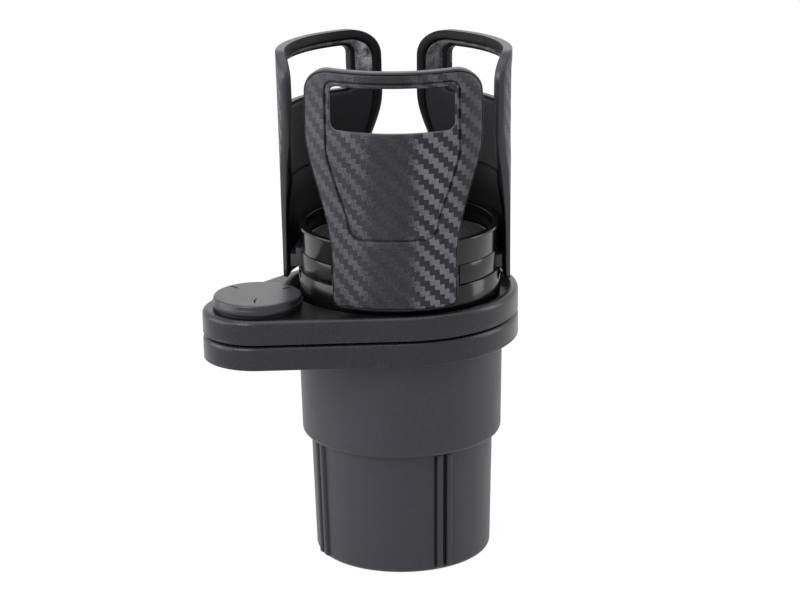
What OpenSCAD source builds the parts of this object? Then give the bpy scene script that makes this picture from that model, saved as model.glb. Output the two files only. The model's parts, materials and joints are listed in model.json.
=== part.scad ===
// Swing-out car cup holder: a stepped base cup, two teardrop plates on a pivot,
// and a ring that carries three sliding claws. Origin: middle of the base cup's
// underside, with +Z up and the pivot towards -X.

/* [Base cup] */
// Outer radius of the lower sleeve just above its rounded foot
sleeve_r = 34.6; // [32:0.1:36]
// How much wider the lower sleeve is at the step
sleeve_taper = 1.2; // [0.4:0.1:2]
// Rounding of the foot's edge
foot_round = 2.2; // [1:0.1:3]
// Height of the step
step_z = 49; // [35:0.5:60]
// How far the upper sleeve stands out at the step
step_out = 3.4; // [2.6:0.1:5]
// Rounding of the step's edge
step_round = 2; // [0.5:0.1:2.4]
// How much wider the upper sleeve is at its top
upper_taper = 0.7; // [0.2:0.1:1.5]
// Height of the shoulder that carries the lower plate
shoulder_z = 88.6; // [75:0.2:100]
// Wall of the base cup
cup_wall = 2.2; // [1.6:0.1:2.6]
// Floor of the base cup
cup_floor = 2.6; // [1.6:0.1:4]
// Pairs of ribs round the lower sleeve
rib_pairs = 4; // [2:1:6]
// Width of one rib
rib_w = 2.6; // [1.5:0.1:3]
// Distance between the two ribs of a pair
rib_pitch = 4; // [3.6:0.1:6]
// How far a rib stands out of the sleeve
rib_proud = 1.3; // [0.5:0.1:1.8]

/* [Neck] */
// Inner radius of the neck, where a can or cup goes in
neck_bore_r = 35.2; // [34:0.1:35.6]
// Wall of the neck
neck_wall = 2.2; // [1.6:0.1:2.6]
// Running clearance between the neck and the plate
neck_clear = 0.05; // [0.02:0.01:0.09]
// Height of the neck above the shoulder
neck_h = 6.8; // [5:0.1:7.2]
// How far the retaining ring reaches over the plate
retainer_reach = 3.4; // [2:0.1:4]
// Thickness of the retaining ring
retainer_t = 1.8; // [1.2:0.1:2]

/* [Plates] */
// Radius of the plates' large end
plate_r = 46.2; // [45.6:0.1:50]
// Radius of the plates' pivot end
pivot_end_r = 21.2; // [19.5:0.1:25]
// Distance from the cup's axis to the pivot
pivot_d = 60.8; // [56:0.2:70]
// Height of the lower plate
lower_h = 9.4; // [9:0.1:12]
// Height of the upper plate
upper_h = 9.4; // [8.6:0.1:12]
// Gap between the plates
plate_gap = 0.6; // [0.4:0.1:1.2]
// Wall of the plates
plate_wall = 2; // [1.4:0.1:2.2]
// Rounding of the plates' upper edges
plate_round = 1.8; // [0.6:0.1:1.9]
// Rounding of the plates' lower edges
plate_under_round = 0.8; // [0.3:0.1:1.2]
// Thickness of the underside covers
cover_t = 1.6; // [1.2:0.1:1.8]

/* [Pivot] */
// Radius of the pivot bolt
bolt_r = 4; // [3:0.1:5]
// Running clearance on the pivot bolt
bolt_clear = 0.05; // [0.02:0.01:0.09]
// Radius of the bolt's head
bolt_head_r = 8; // [7:0.1:9]
// Wall of the pivot bush
bush_wall = 1.5; // [1:0.1:2]
// Radius of the pivot cap
cap_r = 17.3; // [15:0.1:17.6]
// How far the pivot cap stands above the upper plate
cap_proud = 4.9; // [3:0.1:7]
// Wall of the pivot cap
cap_wall = 1.6; // [1.2:0.1:2]
// Chamfer round the pivot cap
cap_chamfer = 0.5; // [0.4:0.1:1.5]

/* [Ring] */
// Radius of the ring's lower layer
ring_low_r = 39.2; // [38.9:0.1:39.6]
// Radius of the ring's middle and upper layers
ring_r = 38.5; // [37.8:0.1:38.8]
// Radius of the trough round the ring
trough_r = 43; // [42:0.1:43.6]
// Depth of the trough below the plate's top
trough_depth = 4.4; // [3:0.1:5]
// Height of the ring's lower layer above the plate's top
ring_low_h = 8; // [6:0.1:10]
// Height of the ring's middle layer, which holds the sliders
ring_mid_h = 7.9; // [7:0.1:10]
// Height of the ring's collar
collar_h = 9.8; // [7:0.1:14]
// Wall of the ring
ring_wall = 2.3; // [1.8:0.1:2.6]
// Thickness of the ring's deck and of the collar's floor
deck_t = 2; // [1.6:0.1:3]
// Thickness of the two soft mats
mat_t = 1.2; // [0.8:0.1:2]

/* [Claws] */
// Outer radius of the claws' skin
claw_r = 43.2; // [42.8:0.1:44]
// Height of the claws' lower ends above the plate's top
claw_lift = 2; // [1.6:0.1:4]
// Length of a claw
claw_h = 91; // [80:0.5:105]
// Half width of a claw's upper part
claw_top_w = 33.4; // [30:0.1:34.5]
// Half width of a claw's lower part
claw_low_w = 23.5; // [21:0.1:24]
// Height above a claw's lower end where it starts to widen
claw_wide_from = 15.8; // [12:0.1:20]
// Height above a claw's lower end where it reaches its full width
claw_wide_to = 65.8; // [55:0.1:70]
// Rounding of a claw's upper corners
claw_corner = 10.5; // [6:0.5:14]
// Depth of a claw's upper part
claw_deep = 4.6; // [4.4:0.1:6]
// Depth of a claw's lower part
claw_thin = 3; // [2.8:0.1:3.3]
// Height of a claw's lower, thin part
thin_h = 25.8; // [15:0.1:30]
// Height of the slope between a claw's thin and deep parts
slope_h = 14; // [6:0.5:20]
// Thickness of the twill skin
skin_t = 1.2; // [1:0.1:1.4]
// Rim of the frame round the skin
skin_rim = 0.8; // [0.4:0.1:1.5]
// Depth of the sunk panel in the skin
panel_depth = 0.6; // [0.2:0.1:0.7]
// Height of the sunk panel's lower edge above a claw's lower end
panel_low_h = 26.8; // [18:0.1:30]
// Height where the sunk panel's chin ends
panel_chin_h = 30.8; // [29:0.1:34]
// Height where the sunk panel reaches its full width
panel_shoulder_h = 57.3; // [45:0.1:64]
// Half width of the sunk panel's lower edge
panel_chin_w = 12.5; // [8:0.1:15]
// Half width of the sunk panel where its chin ends
panel_low_w = 17; // [15.5:0.1:20]
// Flat of the sunk panel round the hand window
panel_flat = 1.6; // [1:0.1:3]
// Half width of the hand window
window_w = 23.3; // [18:0.1:24]
// Height of the hand window
window_h = 17.2; // [12:0.1:20]
// Bar above the hand window
window_bar = 6.1; // [5:0.1:9]
// Thickness of the inner lining
lining_t = 1.4; // [0.8:0.1:1.8]
// Rim of the frame round the inner lining
lining_rim = 3.2; // [2:0.1:5]
// Travel of a claw from its innermost place
claw_travel = 14; // [8:0.5:14]
// How far out the left claw stands as shown
left_out = 2.6; // [0:0.1:8]

/* [Sliders] */
// Half width of a slider
slider_w = 24; // [22:0.1:24.2]
// Distance from the ring's axis to a slider's inner end
slider_in = 15; // [14.6:0.1:17]
// Sliding clearance of a slider
slider_clear = 0.2; // [0.1:0.05:0.3]
// Half width of a slider's stop lug
lug_w = 4; // [3:0.1:6]
// Length of a slider's stop lug
lug_len = 5; // [4:0.1:6]
// Depth of a slider's stop lug
lug_depth = 1; // [0.6:0.1:1.2]
// Thickness of a leaf spring
leaf_t = 0.5; // [0.3:0.05:0.7]

/* [Screws] */
// Radius of the small screws
screw_r = 1.2; // [1:0.05:1.5]
// Radius of the small screws' heads
screw_head_r = 2.3; // [2:0.1:2.6]
// Height of the small screws' heads
screw_head_h = 0.9; // [0.6:0.1:1]

/* [Hidden] */
$fn = 96;

// Small overlap that keeps cuts clean
eps = 0.01;
// Gap between pieces that lie in one another without turning
seat_gap = 0.1;
// A length past the whole part, for cuts
far = 300;

// Heights, from the floor up
neck_top = shoulder_z + neck_h;
lower_top = shoulder_z + lower_h;
upper_z = lower_top + plate_gap;
upper_top = upper_z + upper_h;
trough_z = upper_top - trough_depth;
deck_z = upper_top + ring_low_h;
mid_top = deck_z + ring_mid_h;
collar_top = mid_top + collar_h;
claw_z = upper_top + claw_lift;
claw_top = claw_z + claw_h;
window_top = claw_top - window_bar;
window_z = window_top - window_h;

// Base cup
sleeve_top_r = sleeve_r + sleeve_taper;
upper_r = sleeve_top_r + step_out;
upper_top_r = upper_r + upper_taper;
neck_r = neck_bore_r + neck_wall;
plate_bore_r = neck_r + neck_clear;
retainer_r = plate_bore_r + retainer_reach;

// Pivot
PIVOT = [-pivot_d, 0, 0];
bore_r = bolt_r + bolt_clear;
bush_r = bore_r + bush_wall;
head_h = 3;
hub_r = bolt_head_r + 3;
head_z = shoulder_z + cover_t;
hub_top = upper_z + 5.6;
spring_h = 1;
nut_z = hub_top + spring_h;
nut_h = 2.6;
cap_seat_z = upper_top - 2;
cap_top = upper_top + cap_proud;
cap_ledge = 2.4;

// Ring
post_d = ring_r - 5.9;
post_r = 2.8;
ring_boss_d = ring_low_r - 11.2;
ring_boss_r = 3.2;
SPACES = [60, 180, 300];
ring_lip = 0.5;
cup_floor_z = mid_top + deck_t;
cup_mat_r = ring_r - ring_wall - 1.1;

// Claws, each as [angle, how far out it stands]
RIGHT = [0, 0];
LEFT = [120, left_out];
FRONT = [240, 0];
skin_in_r = claw_r - skin_t;
claw_in_r = claw_r - claw_thin;
claw_deep_r = claw_r - claw_deep;
pocket_r = claw_deep_r + lining_t + 0.2;
thin_to = claw_z + thin_h;
deep_from = thin_to + slope_h;
low_corner = 1.5;
window_corner = 3;
side_steps = 12;
claw_half_a = asin(claw_top_w / skin_in_r);
lining_half_a = claw_half_a - 4;
lining_gap = 1.2;

// Sunk panel of the skin
panel_w = window_w + panel_flat;
panel_top = window_top + panel_flat;
panel_shoulder_z = claw_z + panel_shoulder_h;
panel_chin_z = claw_z + panel_chin_h;
panel_z = claw_z + panel_low_h;

// Sliders
slider_z = deck_z + slider_clear;
slider_top = mid_top - slider_clear;
slider_out_r = ring_r - 0.4;
bridge_h = 4.8;
window_gap = 0.3;
hollow_from = slider_in + lug_len + 2;
hollow_to = slider_out_r - 5.5;
leaf_x = 27;
leaf_len = 18;
leaf_w = 5;
leaf_rise = 1;

// Screws
thread_gap = 0.05;
end_sides = 32;
lower_screw_len = 5.5;
upper_screw_len = 4.2;
ring_screw_len = 6;
claw_screw_a = 18;
claw_screw_z = slider_z + bridge_h / 2;
claw_screw_len = 6;
boss_edge = 9;

// A place beside the plates' straight side: before its end on the pivot, and inside its edge
function by_side(before, inside) = let(lean = asin((plate_r - pivot_end_r) / pivot_d))
    (plate_r - inside) * [-sin(lean), cos(lean)]
    - (pivot_d * cos(lean) - before) * [cos(lean), sin(lean)];
function across(at) = [at.x, -at.y];
function by_rim(a) = (plate_r - boss_edge) * [cos(a), sin(a)];

LOWER_SCREWS = [by_side(22, 8), across(by_side(22, 8)), [-pivot_d - hub_r - 3.9, 0]];
UPPER_SCREWS = [by_side(23, 5.5), across(by_side(23, 5.5)),
    for (a = [36, -36, 96, -96]) by_rim(a)];
boss_r = 2.9;

// A plate's section from x = from out to x = r, h high, with its two outer edges rounded
module plate_section(r, h, top, under, from = 0) {
    translate([from, under]) square([r - from, h - top - under]);
    translate([from, 0]) square([r - under - from, h - top]);
    translate([from, under]) square([r - top - from, h - under]);
    if (top > 0) translate([r - top, h - top]) circle(top);
    if (under > 0) translate([r - under, under]) circle(under);
}

// Teardrop of a large end on the axis and a small end on the pivot, h high,
// inset by d all round: two turned ends, and a straight strip along each side
module teardrop(h, d = 0, top = 0, under = 0) {
    big = plate_r - d;
    small = pivot_end_r - d;
    lean = asin((big - small) / pivot_d);
    side_len = pivot_d * cos(lean);
    foot = (big - small) * [-sin(lean), cos(lean)];
    rotate_extrude() plate_section(big, h, top, under);
    translate(PIVOT) rotate_extrude() plate_section(small, h, top, under);
    linear_extrude(h) polygon([[0, 0], foot, [-pivot_d, 0], [foot.x, -foot.y]]);
    for (side = [-1, 1]) rotate([0, 0, side * (90 + lean)])
        rotate([90, 0, 0])
            translate([0, 0, side > 0 ? -side_len : 0]) linear_extrude(side_len)
                plate_section(big, h, top, under, big - small);
}

// A whole teardrop as one flat-sided outline, h high, inset by d
module flat_teardrop(h, d) {
    lean = asin((plate_r - pivot_end_r) / pivot_d);
    linear_extrude(h) polygon(concat(
        [for (k = [0 : 2 * end_sides])
            let (a = (k / end_sides - 1) * (90 + lean))
            (plate_r - d) * [cos(a), sin(a)]],
        [for (k = [0 : end_sides])
            let (a = 90 + lean + k / end_sides * 2 * (90 - lean))
            [-pivot_d, 0] + (pivot_end_r - d) * [cos(a), sin(a)]]));
}

// The teardrop's tail with a flat-sided end, h high, inset by d
module tail(h, d) {
    lean = asin((plate_r - pivot_end_r) / pivot_d);
    half = concat([(plate_r - d) * [-sin(lean), cos(lean)]],
        [for (a = [90 + lean : (90 - lean) / 4 : 179]) [-pivot_d, 0]
            + (pivot_end_r - d) * [cos(a), sin(a)]]);
    linear_extrude(h) polygon(concat(half, [[d - pivot_d - pivot_end_r, 0]],
        [for (i = [len(half) - 1 : -1 : 0]) [half[i].x, -half[i].y]]));
}

// A tube along Z
module tube(r_out, r_in, h) {
    difference() {
        cylinder(h = h, r = r_out);
        translate([0, 0, -eps]) cylinder(h = h + 2 * eps, r = r_in);
    }
}

// A screw along +Z: its head's outer face is at z = 0 and its shaft points up
module screw(len, r = screw_r, head_r = screw_head_r, head_h = screw_head_h) {
    cylinder(h = head_h, r = head_r);
    cylinder(h = len, r = r);
}

// The hole that takes such a screw, with its counterbore open below
module screw_hole(len, r = screw_r, head_r = screw_head_r, head_h = screw_head_h) {
    translate([0, 0, -2]) cylinder(h = head_h + 2, r = head_r + seat_gap);
    cylinder(h = len + 0.3, r = r + thread_gap);
}

// Base cup

module cup_outside() {
    rotate_extrude() {
        polygon([[0, 0], [sleeve_r - foot_round, 0], [sleeve_r, foot_round],
            [sleeve_top_r, step_z], [upper_r - step_round, step_z],
            [upper_r, step_z + step_round], [upper_top_r, shoulder_z],
            [neck_r, shoulder_z], [neck_r, neck_top], [0, neck_top]]);
        translate([sleeve_r - foot_round, foot_round]) circle(foot_round);
        translate([upper_r - step_round, step_z + step_round]) circle(step_round);
    }
}

module cup_inside() {
    ledge = step_z + cup_wall;
    rotate_extrude() polygon([[0, cup_floor], [sleeve_r - cup_wall, cup_floor],
        [sleeve_top_r - cup_wall, ledge], [upper_r - cup_wall, ledge],
        [upper_top_r - cup_wall, shoulder_z - cup_wall], [neck_bore_r, shoulder_z - cup_wall],
        [neck_bore_r, neck_top + eps], [0, neck_top + eps]]);
}

// One rib: a round-backed bar that leans with the sleeve
module rib() {
    rib_r = rib_w / 2;
    lean = atan(sleeve_taper / step_z);
    intersection() {
        translate([sleeve_r + rib_proud - rib_r, 0, 0]) rotate([0, lean, 0])
            translate([0, 0, -2]) cylinder(h = step_z + 4, r = rib_r, $fn = 24);
        translate([sleeve_r - cup_wall / 2, -rib_w, 0.6]) cube([far, 2 * rib_w, step_z - 0.4]);
    }
}

module base_cup() color("#2b2b2d") {
    difference() {
        cup_outside();
        cup_inside();
    }
    for (pair = [0 : rib_pairs - 1]) rotate(pair * 360 / rib_pairs)
        for (side = [-1, 1]) translate([0, side * rib_pitch / 2, 0]) rib();
}

module retainer_ring() color("#3a3a3c") translate([0, 0, neck_top]) {
    tube(retainer_r, neck_bore_r, retainer_t);
}

module base_mat() color("#161617") translate([0, 0, cup_floor])
    cylinder(h = mat_t, r = sleeve_r - cup_wall - 0.4);

// Plates

module lower_plate() color("#2a2a2c") {
    ledge_z = neck_top - 0.1;
    collar_r = retainer_r + 0.2 + plate_wall;
    difference() {
        translate([0, 0, shoulder_z]) teardrop(lower_h, 0, plate_round, plate_under_round);
        difference() {
            translate([0, 0, shoulder_z - 1]) tail(lower_h - plate_wall + 1, plate_wall);
            translate([0, 0, shoulder_z - 1]) cylinder(h = far, r = collar_r);
            translate(PIVOT + [0, 0, head_z]) cylinder(h = far, r = hub_r);
            for (at = LOWER_SCREWS) translate([at.x, at.y, head_z])
                cylinder(h = far, r = boss_r);
        }
        translate([0, 0, shoulder_z - 1]) cylinder(h = far, r = plate_bore_r);
        translate([0, 0, ledge_z]) cylinder(h = far, r = retainer_r + 0.2);
        translate(PIVOT) cylinder(h = far, r = bore_r);
        translate(PIVOT + [0, 0, head_z - 1])
            cylinder(h = head_h + 1, r = bolt_head_r + seat_gap);
        for (at = LOWER_SCREWS) translate([at.x, at.y, shoulder_z]) screw_hole(lower_screw_len);
    }
}

module lower_cover() color("#242426") difference() {
    translate([0, 0, shoulder_z]) tail(cover_t, plate_wall + seat_gap);
    translate([0, 0, -1]) cylinder(h = far, r = retainer_r + 0.2 + plate_wall + seat_gap);
    translate([-25, -far / 2, 0]) cube(far);
    for (at = LOWER_SCREWS) translate([at.x, at.y, shoulder_z]) screw_hole(lower_screw_len);
}

module lower_cover_screws() color("#8c8c8e")
    for (at = LOWER_SCREWS) translate([at.x, at.y, shoulder_z]) screw(lower_screw_len);

module upper_plate() color("#2a2a2c") {
    floor_z = trough_z - deck_t;
    difference() {
        translate([0, 0, upper_z]) teardrop(upper_h, 0, plate_round, plate_under_round);
        difference() {
            translate([0, 0, upper_z - eps]) teardrop(floor_z - upper_z + eps, plate_wall);
            translate(PIVOT) cylinder(h = far, r = hub_r);
            for (at = UPPER_SCREWS) translate([at.x, at.y, upper_z + cover_t])
                cylinder(h = far, r = boss_r);
        }
        translate([0, 0, trough_z]) cylinder(h = far, r = trough_r);
        translate(PIVOT + [0, 0, upper_z - 1]) cylinder(h = far, r = bush_r + seat_gap / 2);
        translate(PIVOT + [0, 0, hub_top]) cylinder(h = far, r = cap_r - cap_ledge);
        translate(PIVOT + [0, 0, cap_seat_z]) cylinder(h = far, r = cap_r + seat_gap);
        for (at = UPPER_SCREWS) translate([at.x, at.y, upper_z]) screw_hole(upper_screw_len);
        for (a = SPACES) rotate(a) translate([ring_boss_d, 0, floor_z]) screw_hole(ring_screw_len);
    }
}

module upper_cover() color("#242426") difference() {
    translate([0, 0, upper_z]) flat_teardrop(cover_t, plate_wall + seat_gap);
    translate(PIVOT) cylinder(h = far, r = hub_r + seat_gap);
    for (at = UPPER_SCREWS) translate([at.x, at.y, upper_z]) screw_hole(upper_screw_len);
}

module upper_cover_screws() color("#8c8c8e")
    for (at = UPPER_SCREWS) translate([at.x, at.y, upper_z]) screw(upper_screw_len);

// Pivot

module pivot_bolt() color("#9a9a9c") translate(PIVOT) {
    translate([0, 0, head_z]) cylinder(h = head_h, r = bolt_head_r);
    translate([0, 0, head_z]) cylinder(h = nut_z + nut_h + 0.8 - head_z, r = bolt_r);
}

module thrust_washer() color("#d8d4c8") translate(PIVOT + [0, 0, lower_top])
    tube(hub_r + 3, bolt_r + 0.3, plate_gap);

module pivot_bush() color("#d8d4c8") translate(PIVOT + [0, 0, upper_z])
    tube(bush_r, bore_r, hub_top - upper_z);

module spring_washer() color("#9a9a9c") translate(PIVOT + [0, 0, hub_top])
    rotate_extrude() polygon([[bolt_r + 0.3, 0.5], [bush_r + 3.5, 0],
        [bush_r + 3.5, 0.5], [bolt_r + 0.3, spring_h]]);

module pivot_nut() color("#8c8c8e") translate(PIVOT + [0, 0, nut_z]) difference() {
    cylinder(h = nut_h, r = bolt_r * 1.9, $fn = 6);
    translate([0, 0, -1]) cylinder(h = nut_h + 2, r = bolt_r + thread_gap);
}

module pivot_cap() color("#333335") translate(PIVOT) rotate_extrude() {
    cap_in_r = cap_r - cap_wall;
    polygon([[0, cap_top - cap_wall], [cap_in_r, cap_top - cap_wall], [cap_in_r, cap_seat_z],
        [cap_r, cap_seat_z], [cap_r, cap_top - cap_chamfer], [cap_r - cap_chamfer, cap_top],
        [0, cap_top]]);
}

// Ring

module ring_base() color("#101012") {
    low_in_r = ring_low_r - ring_wall;
    mid_in_r = ring_r - ring_wall;
    groove_end = slider_in + lug_len + claw_travel + seat_gap;
    difference() {
        union() {
            translate([0, 0, trough_z]) cylinder(h = deck_z - trough_z, r = ring_low_r);
            translate([0, 0, deck_z - 1]) cylinder(h = ring_mid_h + 1, r = ring_r);
        }
        translate([0, 0, trough_z - 1])
            cylinder(h = deck_z - deck_t - trough_z + 1, r = low_in_r);
        translate([0, 0, deck_z]) cylinder(h = far, r = mid_in_r);
        for (claw = [RIGHT, LEFT, FRONT]) rotate(claw[0]) {
            translate([20, -slider_w - window_gap, deck_z])
                cube([far, 2 * (slider_w + window_gap), ring_mid_h + 1]);
            translate([slider_in - seat_gap, -lug_w - seat_gap, deck_z - lug_depth])
                cube([groove_end - slider_in + seat_gap, 2 * (lug_w + seat_gap), far]);
        }
    }
    for (a = SPACES) rotate(a) {
        translate([post_d, 0, deck_z - 1]) difference() {
            cylinder(h = ring_mid_h + 1, r = post_r);
            translate([0, 0, 2]) cylinder(h = far, r = screw_r + thread_gap);
        }
        translate([ring_boss_d, 0, trough_z]) difference() {
            cylinder(h = deck_z - deck_t - trough_z + 1, r = ring_boss_r);
            translate([0, 0, -1]) cylinder(h = 6, r = screw_r + thread_gap);
        }
    }
}

module ring_collar() color("#101012") difference() {
    union() {
        translate([0, 0, mid_top]) cylinder(h = collar_h, r = ring_r);
        translate([0, 0, collar_top - 1]) cylinder(h = 1, r = ring_r + ring_lip);
    }
    translate([0, 0, cup_floor_z + mat_t]) cylinder(h = far, r = ring_r - ring_wall);
    translate([0, 0, cup_floor_z]) cylinder(h = far, r = cup_mat_r + 0.3);
    for (a = SPACES) rotate(a) translate([post_d, 0, cup_floor_z])
        rotate([180, 0, 0]) screw_hole(ring_screw_len);
}

module ring_screws() color("#8c8c8e") for (a = SPACES) rotate(a)
    translate([ring_boss_d, 0, trough_z - deck_t]) screw(ring_screw_len);

module collar_screws() color("#8c8c8e") for (a = SPACES) rotate(a)
    translate([post_d, 0, cup_floor_z]) rotate([180, 0, 0]) screw(ring_screw_len);

// Lies in a shallow well, whose edge keeps it off the collar's wall
module cup_mat() color("#161617") translate([0, 0, cup_floor_z]) {
    bead_h = 0.4;
    cylinder(h = mat_t - bead_h, r = cup_mat_r);
    for (r = [8 : 7 : cup_mat_r - 4]) translate([0, 0, mat_t - bead_h - eps])
        tube(r + 2.5, r, bead_h + eps);
}

// Claws. Each is drawn on +X with its ends up, then turned and drawn out to its place.

module placed(claw) rotate(claw[0]) translate([claw[1], 0, 0]) children();

// Extrudes a shape in Y and Z along +X
module along_x(h = far) rotate([90, 0, 90]) linear_extrude(h) children();

// Everything between two upright round walls
module shell(r_in, r_out = far) difference() {
    cylinder(h = far, r = r_out);
    translate([0, 0, -1]) cylinder(h = far + 2, r = r_in);
}

// Everything within an angle to each side of +X
module wedge(half_a) linear_extrude(far)
    polygon([[0, 0], [far, -far * tan(half_a)], [far, far * tan(half_a)]]);

// Half width of a claw at t along its widening stretch, 0 to 1
function half_width(t) = claw_low_w + (claw_top_w - claw_low_w) * sin(90 * pow(t, 1.9));

// Right side of a claw's outline, inset by d, from its lower to its upper corner
function side_points(d) = let(corner = max(low_corner, d + 0.5)) concat(
    [for (a = [-90 : 30 : 0]) [claw_low_w - corner, claw_z + corner]
        + (corner - d) * [cos(a), sin(a)]],
    [for (i = [0 : side_steps]) [half_width(i / side_steps) - d,
        claw_z + claw_wide_from + (claw_wide_to - claw_wide_from) * i / side_steps]],
    [for (a = [0 : 11.25 : 90]) [claw_top_w - claw_corner, claw_top - claw_corner]
        + (claw_corner - d) * [cos(a), sin(a)]]);

function mirrored(points) = [for (i = [len(points) - 1 : -1 : 0]) [-points[i].x, points[i].y]];

module claw_outline(d) polygon(concat(side_points(d), mirrored(side_points(d))));

// The hand window's outline, made larger by grow all round
module claw_window(grow = 0) translate([0, window_z]) {
    w = window_w + grow;
    h = window_h + 2 * grow;
    inner_h = window_h - 2 * window_corner;
    translate([-w, window_corner]) square([2 * w, inner_h]);
    translate([window_corner - window_w, -grow]) square([2 * (window_w - window_corner), h]);
    for (y = [-1, 1], z = [window_corner, window_h - window_corner])
        translate([y * (window_w - window_corner), z]) circle(window_corner + grow);
}

// The shield-shaped sunk panel of the skin
module panel_outline() {
    half = [[panel_chin_w, panel_z], [panel_low_w - 1, panel_z + 1.5], [panel_low_w, panel_chin_z],
        [panel_w, panel_shoulder_z], [panel_w, panel_top - 2], [panel_w - 2, panel_top]];
    polygon(concat(half, mirrored(half)));
}

module claw_frame(claw) color("#343436") placed(claw) difference() {
    intersection() {
        rotate_extrude() polygon([[claw_r, claw_z], [claw_r, claw_top], [claw_deep_r, claw_top],
            [claw_deep_r, deep_from], [claw_in_r, thin_to], [claw_in_r, claw_z]]);
        along_x() claw_outline(0);
        wedge(claw_half_a);
    }
    intersection() {
        shell(skin_in_r);
        along_x() claw_outline(skin_rim);
    }
    intersection() {
        translate([0, 0, deep_from]) cylinder(h = far, r = pocket_r);
        along_x() claw_outline(lining_rim);
        wedge(lining_half_a);
    }
    along_x() claw_window();
    claw_screw_places() screw_hole(claw_screw_len);
}

module claw_cover(claw) color("#4a4a4d") placed(claw) difference() {
    intersection() {
        shell(skin_in_r, claw_r);
        along_x() claw_outline(skin_rim + seat_gap);
    }
    along_x() claw_window();
    intersection() {
        shell(claw_r - panel_depth);
        along_x() panel_outline();
    }
}

module claw_pad(claw) color("#141415") placed(claw) difference() {
    intersection() {
        shell(pocket_r - lining_t, pocket_r);
        along_x() claw_outline(lining_rim + seat_gap);
        wedge(lining_half_a - 0.2);
    }
    cylinder(h = deep_from + seat_gap, r = claw_r);
    along_x() claw_window(lining_gap);
}

// The two screws that hold a claw's frame to its slider point at the ring's axis
module claw_screw_places() for (a = [-claw_screw_a, claw_screw_a]) rotate(a)
    translate([skin_in_r - 0.1, 0, claw_screw_z]) rotate([0, -90, 0]) children();

module claw_screws(claw) color("#8c8c8e") placed(claw) claw_screw_places() screw(claw_screw_len);

module slider(claw) color("#343436") placed(claw) difference() {
    union() {
        intersection() {
            translate([slider_in, -slider_w, slider_z])
                cube([far, 2 * slider_w, slider_top - slider_z]);
            cylinder(h = far, r = slider_out_r);
        }
        intersection() {
            translate([slider_in, -slider_w, slider_z]) cube([far, 2 * slider_w, bridge_h]);
            cylinder(h = far, r = claw_in_r);
        }
        translate([slider_in, -lug_w, deck_z - lug_depth + seat_gap])
            cube([lug_len, 2 * lug_w, 2]);
    }
    translate([hollow_from, -slider_w + 2, 0])
        cube([hollow_to - hollow_from, 2 * slider_w - 4, slider_top - 2.6]);
    translate([leaf_x - leaf_w / 2 - 0.2, -leaf_len / 2 - 0.2, slider_top - leaf_rise])
        cube([leaf_w + 0.4, leaf_len + 0.4, far]);
    claw_screw_places() screw_hole(claw_screw_len);
}

// A bowed leaf in the slider's upper face, which presses on the collar's underside
module grip_spring(claw) color("#a0a0a2") placed(claw) {
    bow = leaf_rise - leaf_t;
    bow_r = (leaf_len * leaf_len / 4 + bow * bow) / (2 * bow);
    translate([leaf_x + leaf_w / 2, 0, slider_top - leaf_t - bow_r])
        rotate([90, 0, -90]) linear_extrude(leaf_w) intersection() {
            difference() {
                circle(bow_r + leaf_t);
                circle(bow_r);
            }
            translate([-leaf_len / 2, bow_r - bow]) square([leaf_len, far]);
        }
}

base_cup();
retainer_ring();
base_mat();
lower_plate();
lower_cover();
lower_cover_screws();
pivot_bolt();
thrust_washer();
upper_plate();
upper_cover();
upper_cover_screws();
pivot_bush();
spring_washer();
pivot_nut();
pivot_cap();
ring_base();
ring_collar();
ring_screws();
collar_screws();
cup_mat();
slider(RIGHT);  // slider_right
slider(LEFT);  // slider_left
slider(FRONT);  // slider_front
grip_spring(RIGHT);  // grip_spring_right
grip_spring(LEFT);  // grip_spring_left
grip_spring(FRONT);  // grip_spring_front
claw_frame(RIGHT);  // claw_frame_right
claw_frame(LEFT);  // claw_frame_left
claw_frame(FRONT);  // claw_frame_front
claw_cover(RIGHT);  // claw_cover_right
claw_cover(LEFT);  // claw_cover_left
claw_cover(FRONT);  // claw_cover_front
claw_pad(RIGHT);  // claw_pad_right
claw_pad(LEFT);  // claw_pad_left
claw_pad(FRONT);  // claw_pad_front
claw_screws(RIGHT);  // claw_screws_right
claw_screws(LEFT);  // claw_screws_left
claw_screws(FRONT);  // claw_screws_front
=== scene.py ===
"""Looks of the swing-out cup holder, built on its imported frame.

Shapes are worked out in millimetres as numpy grids and put into meshes in metres.
"""
import json
import math

import bmesh
import bpy
import numpy as np
from bpy.props import FloatProperty, FloatVectorProperty, PointerProperty
from mathutils import Matrix, Vector


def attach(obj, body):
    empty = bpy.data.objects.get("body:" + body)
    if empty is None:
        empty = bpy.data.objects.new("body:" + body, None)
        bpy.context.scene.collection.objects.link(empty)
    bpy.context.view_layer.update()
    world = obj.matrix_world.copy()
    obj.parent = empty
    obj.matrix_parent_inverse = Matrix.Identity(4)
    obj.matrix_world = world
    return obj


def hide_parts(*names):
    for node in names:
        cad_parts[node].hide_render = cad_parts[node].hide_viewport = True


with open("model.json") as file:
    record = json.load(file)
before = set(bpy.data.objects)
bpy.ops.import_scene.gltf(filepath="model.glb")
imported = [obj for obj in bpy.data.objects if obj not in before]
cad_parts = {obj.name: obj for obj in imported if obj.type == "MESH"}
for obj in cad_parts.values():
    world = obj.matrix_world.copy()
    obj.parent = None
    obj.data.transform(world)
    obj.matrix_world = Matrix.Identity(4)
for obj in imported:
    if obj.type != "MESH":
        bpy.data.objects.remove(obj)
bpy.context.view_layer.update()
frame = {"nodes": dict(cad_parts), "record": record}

bl_info = {
    "name": "Swing-out cup holder",
    "version": (1, 0, 0),
    "blender": (4, 5, 0),
    "location": "View3D > Sidebar > Cup Holder",
    "description": "Builds the surfaces, finishes and stage of a swing-out cup holder",
    "category": "Object",
}

MM = 0.001

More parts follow.
